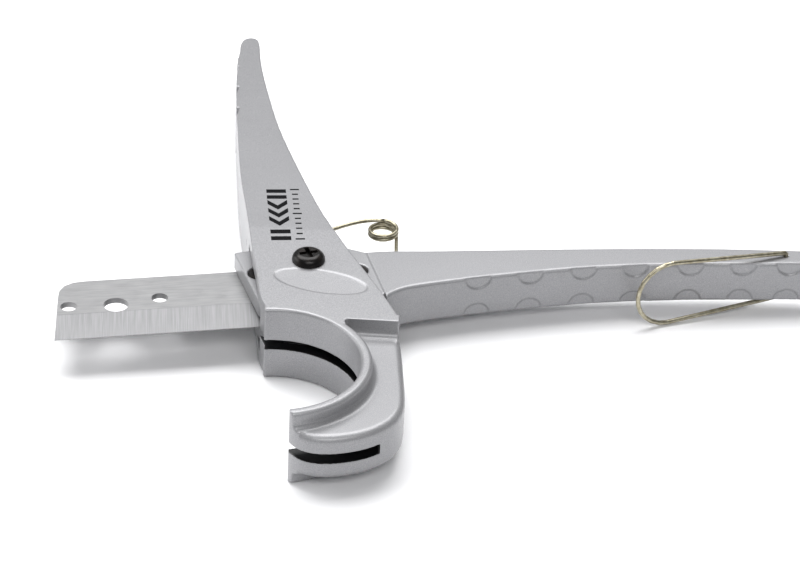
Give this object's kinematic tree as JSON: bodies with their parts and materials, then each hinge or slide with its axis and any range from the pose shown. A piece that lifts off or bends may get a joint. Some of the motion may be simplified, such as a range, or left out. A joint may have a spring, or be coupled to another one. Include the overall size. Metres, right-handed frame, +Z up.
{
  "type": "scissor hose cutter",
  "caption": "Scissor hose and pipe cutter with a hooked jaw handle, a slotted handle carrying a flat blade, a return spring and a wire latch bail.",
  "frame": {"origin": "on the pivot axis, at the flat lower face of the jaw handle's lower cheek, which is the face the tool lies on", "axes": "+Z up along the pivot axis; +X towards the blade handle's far end when fully open; +Y towards the jaw handle's far end"},
  "size_m": [0.1953, 0.2008, 0.0226],
  "materials": {
    "casting": "die casting with fine metallic silver paint, satin",
    "blade_steel": "ground",
    "black_oxide": "black oxide, slightly oily",
    "sleeve_steel": "turned",
    "washer": "matte",
    "wire": "drawn wire, zinc plated, yellowish"
  },
  "bodies": {
    "jaw": {"jaw_handle": "casting", "pivot_screw": "black_oxide", "pivot_sleeve_nut": "sleeve_steel", "thrust_washer_upper": "washer", "thrust_washer_lower": "washer", "return_spring": "wire"},
    "cutter": {"blade_handle": "casting", "blade": "blade_steel", "blade_screw_inner": "black_oxide", "blade_screw_outer": "black_oxide"},
    "latch": {"latch_bail": "wire"}
  },
  "joints": [
    {"name": "handle_pivot", "type": "hinge", "parent": "jaw", "child": "cutter", "pos_m": [0, 0, 0.0098], "axis": [0, 0, 1], "range_deg": [0, 80], "stiffness_Nm_per_rad": 0.35, "springref_deg": -20.05, "deforming": ["return_spring"]},
    {"name": "latch_pivot", "type": "hinge", "parent": "cutter", "child": "latch", "pos_m": [0.1241, 0.0228, 0.0098], "axis": [0, 0, 1], "range_deg": [0, 300]}
  ]
}
